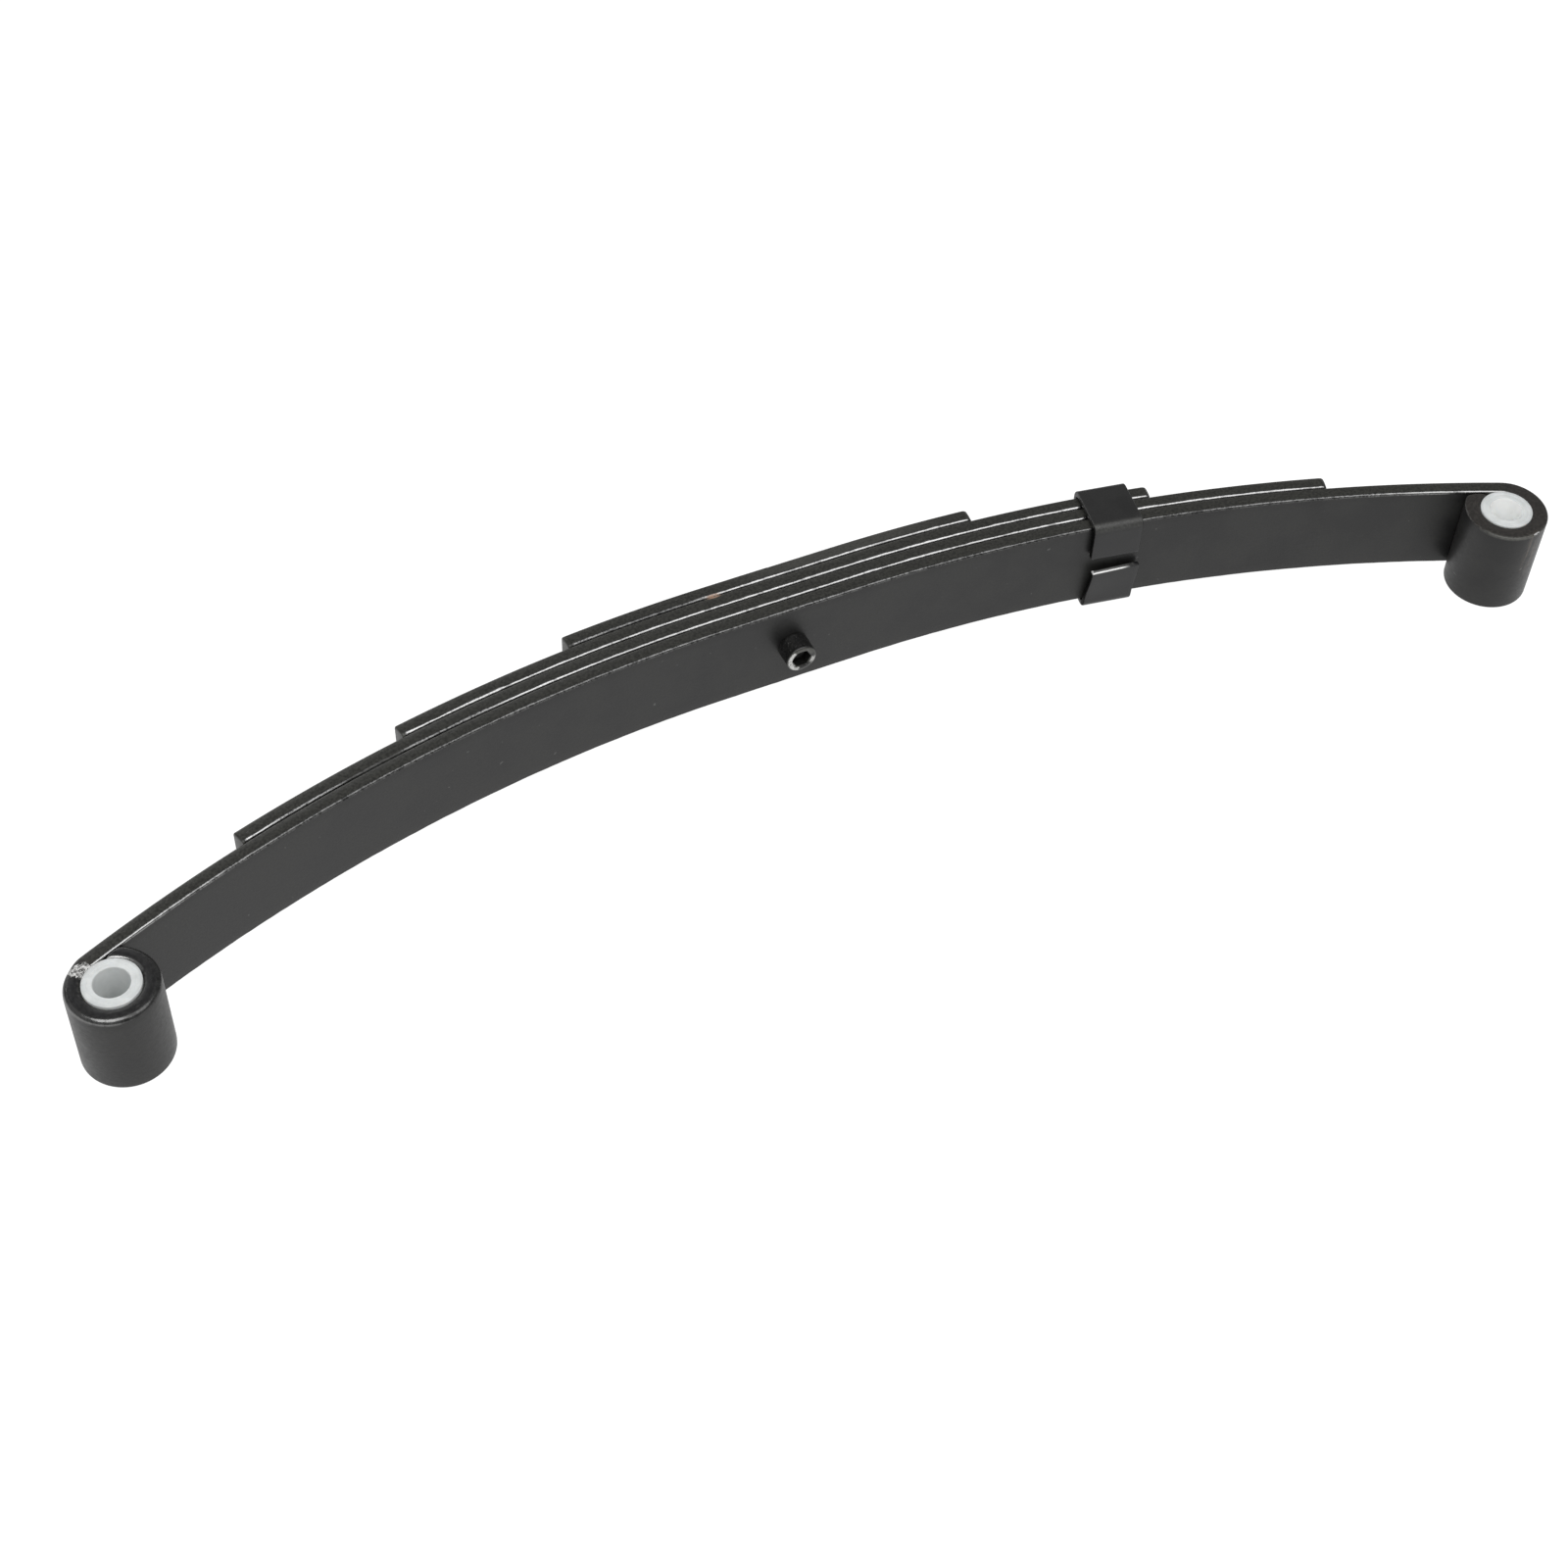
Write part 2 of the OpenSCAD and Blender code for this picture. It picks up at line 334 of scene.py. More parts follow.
def leaf_paint():
    """Satin black paint on rolled steel: clouded on the faces, mottled on the edges, glossy where
    it has run into the grooves between the leaves, worn, and marked at a few single places."""
    s = Shader("leaf_paint", IOR=PAINT_IOR)
    at = s.place("leaf_place")
    edge, eye, gloss = s.mark("edge"), s.mark("eye"), s.mark("gloss")
    cloud = s.noise(s.stretch(at, (1.0, 2.2, 1.0)), 26 * MM, 4.0, 0.6)
    grain = s.noise(at, 1.1 * MM, 4.0, 0.65)

    thin = s.times(s.ramp(gloss, 0.45, 0.75, 1.0, 0.0), s.less(eye))
    shine = s.ramp(gloss, 0.0, 0.25)
    run = glossy_run(s, at, gloss, thin)
    colour = leaf_wear(s, at, grain, leaf_colour(s, at, cloud, grain))
    colour = s.mix(shine, colour, s.mix(run, GLOSS_DARK, GLOSS_LIGHT))
    colour = rear_eye_wear(s, at, grain, colour)
    film = flaked_film(s, at)
    rust = s.times(s.near(at, RUST_AT, 1.7 * MM, 0.7, (0.35, 1.0, 1.0)), s.ramp(grain, 0.28, 0.46))
    colour = s.mix(rust, s.mix(film, colour, PALE_FILM), RUST)
    matt = s.most(film, rust)

    satin = s.add(s.ramp(cloud, 0.3, 0.7, 0.37, 0.47), s.ramp(grain, 0.3, 0.7, -0.03, 0.05))
    satin = s.blend(edge, satin, s.ramp(grain, 0.3, 0.7, 0.30, 0.46))
    polish = s.add(s.ramp(grain, 0.3, 0.7, 0.13, 0.22), s.times(eye, 0.04))
    polish = s.add(polish, s.times(thin, 0.12))
    rough = s.blend(s.most(matt, s.mark("under")), s.blend(shine, satin, polish), MATT)

    height = s.add(s.times(s.noise(at, 2.6 * MM, 2.0), edge), s.times(s.noise(at, 0.35 * MM, 2.0), 0.12))
    height = s.add(height, s.times(film, 2.0))
    normal = s.bump(height, 0.12 * MM, s.bump(grain, 0.05 * MM))
    s.set(Base_Color=colour, Roughness=rough, Metallic=s.times(shine, s.less(matt)), Normal=normal)
    return s.material


def leaf_colour(s, at, cloud, grain):
    """Clouded faces and mottled edges. The two eyes are smoother, and the rear one is browner."""
    edge, eye = s.mark("edge"), s.mark("eye")
    along = s.node("SeparateXYZ", {}, {0: at}).outputs["X"]
    rear = s.times(eye, s.ramp(along, -0.1, 0.1))
    mottle = s.ramp(grain, 0.35, 0.70)
    front_ring = s.mix(mottle, FRONT_EYE_DARK, FRONT_EYE_LIGHT)
    rear_ring = s.mix(mottle, REAR_EYE_DARK, REAR_EYE_LIGHT)
    side = s.mix(s.ramp(grain, 0.30, 0.70), EDGE_DARK, EDGE_LIGHT)
    side = s.mix(eye, side, s.mix(rear, front_ring, rear_ring))
    return s.mix(edge, s.mix(s.ramp(cloud, 0.35, 0.65), FACE_DARK, FACE_LIGHT), side)


def leaf_wear(s, at, grain, colour):
    """Dust, thicker on the edges, handling marks behind the bolt, short scratches, rubbed arrises."""
    edge = s.mark("edge")
    dust = s.ramp(s.noise(at, 0.7 * MM, 2.0), 0.68, 0.80)
    patches = s.ramp(s.noise(at, 9 * MM, 2.0), 0.48, 0.66)
    colour = s.mix(s.times(dust, patches, s.add(0.22, s.times(edge, 0.4))), colour, DUST)
    handled = s.near(at, HANDLED_AT, 7.5 * MM, 0.7, (0.12, 1.0, 1.0))
    colour = s.mix(s.times(handled, edge, s.ramp(grain, 0.25, 0.6, 0.5, 1.0)), colour, HANDLED)
    scratch = s.ramp(s.noise(s.stretch(at, (1.0, 6.0, 1.0)), 3.2 * MM, 1.0), 0.745, 0.785)
    colour = s.mix(s.times(scratch, 0.45), colour, SCRATCHED)
    rub = s.times(s.mark("arris"), s.ramp(grain, 0.42, 0.62), s.mark("worn"))
    return s.mix(s.times(rub, 0.8), colour, RUBBED)


def glossy_run(s, at, gloss, thin):
    """How bright the gloss is: broken here and there, and crumbled where the run is thin."""
    broken = s.ramp(s.noise(s.stretch(at, (1.0, 0.4, 0.4)), 5 * MM, 4.0, 0.75), 0.34, 0.50)
    crumbs = s.ramp(s.noise(at, 1.3 * MM, 3.0, 0.7), 0.36, 0.56)
    return s.times(gloss, s.blend(broken, 0.45, 1.0), s.blend(thin, 1.0, s.blend(crumbs, 0.35, 1.25)))


def rear_eye_wear(s, at, grain, colour):
    """A rubbed outer rim at the front of the rear eye, one bright chip on it and brown streaks
    below the chip."""
    rim = s.near(at, RIM_AT, 13 * MM, 0.7)
    line = s.near(at, (0.0, LEAF_T, HALF_W - 0.3 * MM), 1.7 * MM, 0.9, (0.0, 1.0, 1.0))
    colour = s.mix(s.times(rim, line, s.ramp(grain, 0.30, 0.55, 0.35, 0.9)), colour, RIM_RUBBED)
    streak = s.near(at, STREAK_AT, 3.4 * MM, 0.7, (1.0, 1.0, 0.16))
    lines = s.ramp(s.noise(s.stretch(at, (1.0, 1.0, 0.05)), 1.1 * MM, 3.0, 0.6), 0.42, 0.60)
    colour = s.mix(s.times(streak, lines, 0.6), colour, STREAK)
    chip = s.near(at, CHIP_AT, 0.52 * MM, 0.4, (0.35, 1.0, 1.0))
    return s.mix(s.times(chip, s.ramp(grain, 0.38, 0.46)), colour, RIM_CHIPPED)


def flaked_film(s, at):
    """1 on the shreds of pale film at the upper edge of the front eye, wide beside the bush and
    narrow at the outer rim."""
    inner = s.near(at, (-ARC_END - 3.0 * MM, 1.2 * MM, HALF_W), 5.6 * MM, 0.8)
    middle = s.near(at, (-ARC_END - 4.0 * MM, 4.0 * MM, HALF_W), 3.6 * MM, 0.8)
    outer = s.near(at, (-ARC_END - 4.8 * MM, 6.2 * MM, HALF_W), 2.2 * MM, 0.8)
    area = s.most(s.most(inner, middle), outer)
    torn = s.noise(at, 1.6 * MM, 5.0, 0.7)
    shape = s.ramp(s.add(s.times(area, 0.62), torn), 0.80, 0.88)
    creases = s.ramp(s.noise(at, 0.9 * MM, 5.0, 0.8), 0.42, 0.52)
    return s.times(shape, s.blend(creases, 0.05, 1.0))


STRAP_DARK, STRAP_LIGHT = grey(0.0080, -0.05), grey(0.0120, -0.02)
# the third colour is a painted highlight for the clip's front-top bend, laid faintly over its top face
# as painted light
STRAP_SPECK, STRAP_RUBBED, STRAP_BEND_HIGHLIGHT = grey(0.10, 0.05), grey(0.09, 0.06), grey(0.045, 0.06)
# painted shade for the strap's cut sides, then bare steel that is painted bright as a highlight
STRAP_SHADE, BARE_STEEL_HIGHLIGHT = grey(0.002), grey(0.90, 0.01)


def clip_paint():
    """Smooth satin black paint on bent strap, with painted shade on the cut sides of its front arms, a
    painted highlight on its front-top bend and painted light on its top face, and bare steel painted
    bright as a highlight on the sheared end."""
    s = Shader("clip_paint", IOR=PAINT_IOR)
    at = s.place("leaf_place")
    arris, bare, shade, bend_highlight = s.mark("arris"), s.mark("bare"), s.mark("shade"), s.mark("bend_highlight")
    cloud = s.noise(at, 12 * MM, 4.0)
    grain = s.noise(at, 0.8 * MM, 3.0)
    colour = s.mix(s.ramp(cloud, 0.35, 0.65), STRAP_DARK, STRAP_LIGHT)
    specks = s.ramp(s.noise(at, 0.6 * MM, 1.0), 0.72, 0.80)
    colour = s.mix(s.times(specks, 0.35), colour, STRAP_SPECK)
    rub = s.times(arris, s.ramp(grain, 0.45, 0.62))
    colour = s.mix(s.times(rub, 0.5), colour, STRAP_RUBBED)
    # painted highlight on the front-top bend and painted light on the top face, speckled like rubbed
    # paint
    colour = s.mix(s.times(bend_highlight, s.ramp(grain, 0.3, 0.7, 0.5, 1.0)), colour, STRAP_BEND_HIGHLIGHT)
    # painted shade on the front arms' cut sides, where the gap to the leaf lies in shadow; the metallic
    # setting below keeps it from reflecting
    colour = s.mix(s.times(shade, 0.8), colour, STRAP_SHADE)
    # bare sheared steel, painted bright as a highlight
    colour = s.mix(bare, colour, BARE_STEEL_HIGHLIGHT)
    rough = s.blend(bare, s.ramp(cloud, 0.3, 0.7, 0.38, 0.46), 0.3)
    rough = s.blend(shade, rough, 0.7)
    metal = s.most(s.times(bare, 0.35), s.times(shade, 0.9))
    s.set(Base_Color=colour, Roughness=rough, Metallic=metal, Normal=s.bump(grain, 0.03 * MM))
    return s.material


OXIDE_DARK, OXIDE_LIGHT = grey(0.004, 0.02), grey(0.011, 0.05)
OXIDE_DULL, BRIGHT_STEEL = (0.085, 0.085, 0.068, 1.0), grey(0.50, 0.02)


def bolt_steel():
    """Black-oxide steel, worn to bright metal on the rims and the crests of the knurl."""
    s = Shader("bolt_steel", IOR=1.5)
    at = s.place()
    worn, crest = s.mark("worn"), s.mark("crest")
    grain = s.noise(at, 0.9 * MM, 4.0, 0.7)
    speck = s.noise(at, 0.45 * MM, 2.0)
    black = s.mix(s.ramp(grain, 0.35, 0.7), OXIDE_DARK, OXIDE_LIGHT)
    black = s.mix(s.times(s.ramp(worn, 0.05, 0.3), 0.32), black, OXIDE_DULL)
    rub = s.times(s.ramp(worn, 0.25, 0.9), s.ramp(s.add(grain, s.times(worn, 0.12)), 0.47, 0.60))
    rub = s.most(rub, s.times(crest, s.ramp(speck, 0.64, 0.76), 0.4))
    rough = s.blend(rub, s.ramp(grain, 0.3, 0.7, 0.28, 0.42), 0.34)
    metal = s.times(rub, 0.85)
    s.set(Base_Color=s.mix(rub, black, BRIGHT_STEEL), Roughness=rough, Metallic=metal)
    s.set(Normal=s.bump(grain, 0.04 * MM))
    return s.material


NYLON_DARK, NYLON_LIGHT = (0.56, 0.58, 0.575, 1.0), (0.63, 0.65, 0.645, 1.0)
NYLON_PAINTED_BORE_LIGHT, NYLON_SMUDGE = (0.95, 0.96, 0.95, 1.0), (0.60, 0.63, 0.60, 1.0)


def nylon():
    """White moulded nylon, a little translucent, clouded and smudged, with painted light in the bore."""
    s = Shader("nylon", IOR=1.53, Subsurface_Weight=0.25, Subsurface_Scale=4 * MM)
    s.set(Subsurface_Radius=(1.0, 0.9, 0.8))
    at = s.place()
    cloud = s.noise(at, 6 * MM, 3.0)
    grain = s.noise(at, 0.5 * MM, 3.0)
    colour = s.mix(s.ramp(cloud, 0.35, 0.65), NYLON_DARK, NYLON_LIGHT)
    # painted light: the bore's colour is raised to near white so that it reads brightly lit
    colour = s.mix(s.mark("bore"), colour, NYLON_PAINTED_BORE_LIGHT)
    smudge = s.ramp(s.noise(at, 3 * MM, 3.0), 0.62, 0.75)
    colour = s.mix(s.times(smudge, 0.25), colour, NYLON_SMUDGE)
    rough = s.ramp(grain, 0.3, 0.7, 0.34, 0.46)
    s.set(Base_Color=colour, Roughness=rough, Normal=s.bump(grain, 0.02 * MM))
    return s.material


PAINT = leaf_paint()
CLIP_PAINT = clip_paint()
STEEL = bolt_steel()
NYLON = nylon()


# ---------------------------------------------------------------------------- the leaves

ARC_STEPS, WIDE_STEPS, THIN_STEPS = 8, 10, 6
SECTION_COUNT = 4 * (ARC_STEPS + 1) + 2 * (WIDE_STEPS - 1) + 2 * (THIN_STEPS - 1)
CROWN = 0.15 * MM       # how far the middle of a leaf's thin edge stands out
LEAST_ARRIS = 0.15 * MM  # smallest radius of an arris, at the very end of a leaf
END_FACE = 0.8 * MM     # from the end, how far the look of the thin edges goes


def rounded_section(low, high, half, r_low, r_high):
    """Points (v, z, arris, edge, run) round a leaf's section, v across its thickness from the
    concave face. The last three say how far a point is on an arris, on a thin edge, and on the
    concave side, where paint gathers, which fades out at the outer end of its two arrises."""
    corners = ((low + r_low, 1, r_low, 180), (high - r_high, 1, r_high, 90),
               (high - r_high, -1, r_high, 0), (low + r_low, -1, r_low, -90))
    arcs = []
    for n, (v, sign, r, start) in enumerate(corners):
        z = sign * (half - CROWN - r)
        arc = []
        for i in range(ARC_STEPS + 1):
            t = i / ARC_STEPS
            a = math.radians(start - 90 * t)
            run = {0: 1 - t, 3: t}.get(n, 0.0)
            point = (v + r * math.cos(a), z + r * math.sin(a))
            arc.append(point + (math.sin(t * math.pi), abs(math.sin(a)), min(1.0, 5 * run)))
        arcs.append(arc)
    points = []
    for n, arc in enumerate(arcs):
        points += arc
        here, there = arc[-1], arcs[(n + 1) % 4][0]
        thin = n in (0, 2)
        steps = THIN_STEPS if thin else WIDE_STEPS
        for i in range(1, steps):
            t = i / steps
            bulge = 4 * t * (1 - t) * CROWN * (1 - n) if thin else 0.0
            v, z = lerp(here[0], there[0], t), lerp(here[1], there[1], t) + bulge
            points.append((v, z, 0.0, 1.0 if thin else 0.0, 1.0 if n == 3 else 0.0))
    return points


def arch_point(s):
    """Place, outward normal and slope of the main leaf's concave face at the distance s."""
    if s <= SEAT_HALF:
        return Vector((s, 0.0)), Vector((0.0, 1.0)), 0.0
    a = (s - SEAT_HALF) / ARCH_R
    normal = Vector((math.sin(a), math.cos(a)))
    return Vector((SEAT_HALF, -ARCH_R)) + ARCH_R * normal, normal, a


def eye_point(turn):
    """Place and outward normal of the eye's inner face after a turn from the arch's end."""
    a = EYE_ANGLE + turn
    normal = Vector((math.sin(a), math.cos(a)))
    return Vector((EYE_X, EYE_Y)) + EYE_IN_R * normal, normal


END_STEPS = [d * MM for d in (0.0, 0.06, 0.18, 0.36, 0.6, 0.9, 1.3, 1.8, 2.4, 3.2)]


def distances(length, step):
    """Distances along a leaf, even to near its end and closer together there."""
    end = [length - d for d in END_STEPS]
    near = min(end)
    count = max(1, round(near / step))
    return [near * i / count for i in range(count)] + sorted(end)


def quarter_inset(distance, radius):
    """How far a quarter-round end of that radius has drawn in, at a distance from the end."""
    if distance >= radius:
        return 0.0
    return radius - math.sqrt(max(radius ** 2 - (radius - distance) ** 2, 0.0))


# Radii of a half leaf: its arrises on each face, the arris round its end, and the end's corners
LeafStyle = namedtuple("LeafStyle", "concave_arris convex_arris end_arris end_corner")


def leaf_stations(name, side):
    """Stations along half a leaf: place, normal, distance along, distance to the end and how far
    round the eye the station is, from 0 to 1."""
    stations = []
    if name != "main_leaf":
        reach = REACH[name]
        for s in distances(reach, ALONG_STEP):
            p, n, _ = arch_point(s)
            stations.append((p, n, s, reach - s, 0.0))
        return stations
    roll = (2 * math.pi - TIP_ANGLE[side]) * EYE_IN_R
    arc_count = round(ARC_END / ALONG_STEP)
    for i in range(arc_count):
        s = ARC_END * i / arc_count
        p, n, _ = arch_point(s)
        p = p + n * EYE_STEP * smoothstep((s - ARC_END + EYE_RISE) / EYE_RISE)
        stations.append((p, n, s, FAR, 0.0))
    for s in distances(roll, ROUND_STEP):
        p, n = eye_point(s / EYE_IN_R)
        stations.append((p, n, ARC_END + s, roll - s, s / roll))
    return stations


def leaf_half(name, side, style):
    """One half of a leaf, from the centre bolt to its end."""
    base = LAYER[name] * LEAF_PITCH
    seed = 3.1 * LAYER[name] + (7.7 if side == REAR else 0.0)
    verts = []
    marks = {key: [] for key in ("leaf_place", "arris", "edge", "gloss", "worn", "eye", "under")}
    stations = leaf_stations(name, side)
    for p, n, s, to_end, round_eye in stations:
        in_eye = smoothstep(round_eye * 12)
        inset = quarter_inset(to_end, style.end_arris)
        half = HALF_W - inset - quarter_inset(to_end, style.end_corner)
        concave = style.concave_arris * unevenness(name, s * side, seed)
        r_low = max(lerp(concave, eye_rim(side, inner=True), in_eye) - inset, LEAST_ARRIS)
        r_high = max(lerp(style.convex_arris, eye_rim(side), in_eye) - inset, LEAST_ARRIS)
        shine = groove_gloss(name, side, s, to_end, seed)
        for v, z, on_arris, on_edge, run in rounded_section(inset, LEAF_T - inset, half, r_low, r_high):
            q = p + n * (base + v)
            if in_eye:
                q = slanted(q, v, to_end)
            verts.append(Vector((q.x * side, q.y, z)))
            marks["leaf_place"].append((s * side, base + v, z))
            marks["arris"].append(on_arris)
            marks["edge"].append(on_edge if to_end > END_FACE else 1.0)
            marks["gloss"].append(gloss_at(name, side, v, z, on_arris, run, shine, round_eye))
            marks["worn"].append(worn_at(name, round_eye))
            marks["eye"].append(in_eye)
            marks["under"].append(on_arris if z < 0 else 0.0)
    faces = tube_faces(len(stations), SECTION_COUNT, flip=side == REAR)
    piece = make_object(f"{name}_{END_NAME[side]}", verts, faces, marks, PAINT)
    middle = Vector((0.0, base + LEAF_T / 2, 0.0))
    drill(piece, middle, Vector((0, 1, 0)), HOLE_R, 3 * LEAF_T)
    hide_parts(name)
    return piece


def unevenness(name, along, seed):
    """A factor near 1, by which the width of a concave arris wanders along the leaf."""
    uneven = 0.14 * wander(along, 11 * MM, seed) + 0.12 * wander(along, 3.4 * MM, seed + 1)
    return 1 + uneven * (0.4 if name == "main_leaf" else 1.0)


def slanted(point, v, to_end):
    """A point of the roll, moved round the eye so that the roll ends along the leaf above it."""
    turn = TIP_SLANT * (1 - v / LEAF_T) * max(0.0, 1 - to_end / TIP_SLANT_FROM)
    arm = point - Vector((EYE_X, EYE_Y))
    across = Vector((arm.y, -arm.x))
    return Vector((EYE_X, EYE_Y)) + arm * math.cos(turn) + across * math.sin(turn)


def eye_rim(side, inner=False):
    """Radius of the outer or inner rim of an eye."""
    if side == FRONT:
        return 1.8 * MM if inner else 2.7 * MM
    return 0.8 * MM if inner else 0.9 * MM


def fade(s, start, end):
    """0 at start and 1 at end, both in millimetres along a leaf."""
    return smoothstep((s / MM - start) / (end - start))


def groove_gloss(name, side, s, to_end, seed):
    """How thick the paint lies on a concave arris at a distance along the leaf."""
    waver = 0.12 * wander(s * side, 45 * MM, seed + 2)
    if name == "main_leaf":
        return lerp(0.30, 0.80, fade(s, 240, 310)) + 0.5 * waver
    gloss = 0.95
    if name == "fourth_leaf" and side == FRONT:
        gloss = lerp(1.0, 0.30, fade(s, 20, 45))
    if name == "second_leaf" and side == FRONT:
        thin = fade(s, 120, 145) * fade(s, 250, 234)
        gap = fade(s, 174, 184) * fade(s, 216, 206)
        gloss = lerp(0.95, 0.45, thin) * (1 - 0.7 * gap)
    return (gloss + waver) * fade(to_end, 1.0, 2.8)


def gloss_at(name, side, v, z, on_arris, run, shine, round_eye):
    """Paint has run together in the grooves, on the concave arrises of the three short leaves. It
    lies thick on the main leaf's concave arris, and on the front eye's outer rim and the inner rim
    beside its tip. Below the middle of a leaf's width there is none."""
    low = v < LEAF_T / 2
    if z < 0:
        return 0.0
    if name != "main_leaf":
        return run * shine
    if low and side == FRONT and round_eye > 0.5:
        return 0.9 * smoothstep(1.5 * on_arris) * smoothstep((round_eye - 0.79) / 0.06)
    if low:
        return smoothstep(1.5 * on_arris) * shine * (1 - smoothstep(12 * round_eye))
    if side == FRONT:
        lit = smoothstep((round_eye - 0.12) * 10) * lerp(1.0, 0.35, smoothstep((round_eye - 0.44) * 10))
        return 0.50 * smoothstep(1.4 * on_arris) * lit
    return 0.0


def worn_at(name, round_eye):
    """How much the paint is rubbed on an arris."""
    if name == "main_leaf":
        return 0.0 if round_eye > 0.9 else 0.3
    return 0.35


def bend(piece):
    """Bakes a piece's placement into its mesh."""
    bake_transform(piece)


MAIN_STYLE = LeafStyle(1.3 * MM, 1.3 * MM, 0.5 * MM, 1.0 * MM)
SHORT_STYLE = {
    REAR: LeafStyle(1.5 * MM, 1.4 * MM, 0.6 * MM, 2.6 * MM),
    FRONT: LeafStyle(1.5 * MM, 1.2 * MM, 0.35 * MM, 0.8 * MM),
}


def build_leaves():
    for name in LAYER:
        for side in (REAR, FRONT):
            style = MAIN_STYLE if name == "main_leaf" else SHORT_STYLE[side]
            piece = leaf_half(name, side, style)
            if name == "third_leaf" and side == REAR:
                drill(piece, *clip_place(0, 2.5 * LEAF_PITCH, 0), RIVET_R, 2 * LEAF_T)
            bend(piece)


# ---------------------------------------------------------------------------- turned parts

def turned(rings, segments, place, marks):
    """Vertices of rings round an axis, and their marks. Each ring is (height, radius). A radius is
    a number or a function of the angle, and so is each ring's value of a mark."""
    verts, stored = [], {key: [] for key in marks}
    for row, (height, radius) in enumerate(rings):
        for j in range(segments):
            a = 2 * math.pi * j / segments
            r = radius(a) if callable(radius) else radius
            verts.append(place @ Vector((r * math.cos(a), r * math.sin(a), height)))
            for key, values in marks.items():
                value = values[row]
                stored[key].append(value(a) if callable(value) else value)
    return verts, stored


def tube_of_rings(name, rings, segments, place, marks, material, closed, smooth=SHARP):
    """A piece from rings round an axis, closed from the last ring to the first or at both ends."""
    verts, stored = turned(rings, segments, place, marks)
    faces = tube_faces(len(rings), segments, closed=closed)
    return make_object(name, verts, faces, stored, material, smooth)


def rounded_path(points, steps=5):
    """A path through (height, radius, rounding) points, with a round corner of that radius."""
    path = []
    for i, (h, r, rounding) in enumerate(points):
        here = Vector((h, r))
        if not rounding:
            path.append(here)
            continue
        before = Vector(points[i - 1][:2])
        after = Vector(points[(i + 1) % len(points)][:2])
        a = here + (before - here).normalized() * rounding
        b = here + (after - here).normalized() * rounding
        for k in range(steps + 1):
            t = k / steps
            path.append(a * (1 - t) ** 2 + here * 2 * t * (1 - t) + b * t ** 2)
    return [(p.x, p.y) for p in path]


def bush(side):
    """A moulded sleeve: round rims, and two faint rings sunk in each end face."""
    h, r, b = BUSH_HALF, BUSH_R, BORE_R
    rim, half_ring, dip = 0.7 * MM, 0.3 * MM, 0.14 * MM

    def face(sign):
        points = [(sign * h, b, rim)]
        for share in (0.80, 0.93):
            at = r * share
            points.append((sign * h, at - half_ring, 0))
            points.append((sign * (h - dip), at, 0))
            points.append((sign * h, at + half_ring, 0))
        points.append((sign * h, r, rim))
        return points

    outline = face(-1) + [(z * h, r, 0) for z in (-0.5, 0, 0.5)] + face(1)[::-1]
    outline += [(z * h, b, 0) for z in (0.5, 0, -0.5)]
    rings = rounded_path(outline)
    place = Matrix.Translation((side * EYE_X, EYE_Y, 0))
    name = f"{END_NAME[side]}_bush"
    # how much painted light the bore gets: full in the rear bush, a tenth in the front one
    light = 1.0 if side == REAR else 0.1
    marks = {"bore": [light if radius < b + 0.1 * MM else 0.0 for _, radius in rings]}
    piece = tube_of_rings(f"{name}_moulded", rings, 128, place, marks, NYLON, closed=True)
    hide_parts(name)
    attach(piece, END_BODY[side])


BOLT_FRAME = Matrix.Rotation(math.radians(-90), 4, "X")   # local +Z to the frame's +Y


def hexagon(across_flats):
    """Radius of a hexagon with a corner at angle 0."""
    def radius(a):
        off_flat = (a % (math.pi / 3)) - math.pi / 6
        return across_flats / 2 / math.cos(off_flat)
    return radius


def wrapped(a):
    """The same angle between -pi and pi."""
    return (a + math.pi) % (2 * math.pi) - math.pi


def arc(a, middle, half, fading):
    """1 on an arc of the bolt's face and 0 outside it. The arc's middle is in degrees, and its
    half length and the part of it over which it fades are in radians."""
    return smoothstep((half - abs(wrapped(a - math.radians(middle)))) / fading)


def face_wear(most):
    """Wear round the bolt's face: most of it on two arcs, and dull between them."""
    def wear(a):
        wide, narrow, top = arc(a, 170, 1.35, 0.35), arc(a, 20, 0.52, 0.30), arc(a, 270, 1.5, 0.5)
        return most * max(0.05, 0.36 * top, wide, 0.8 * narrow)
    return wear


def knurled(height, share):
    """Radius of the head, with a share of the knurl's depth cut in crossing spirals."""
    turn = height / KNURL_PITCH * math.pi

    def radius(a):
        half = KNURL_TEETH / 2 * a
        ridges = min(abs(math.sin(half + turn)), abs(math.sin(half - turn)))
        return SCREW_HEAD_R - share * KNURL_DEPTH * (1 - min(1.0, 1.6 * ridges))
    return radius


def threaded(height, share):
    """Radius of the shank, with a share of the thread's depth cut in a helix."""
    def radius(a):
        phase = (height / THREAD_PITCH - a / (2 * math.pi)) % 1.0
        return BOLT_R - share * THREAD_DEPTH * (1 - abs(2 * phase - 1))
    return radius


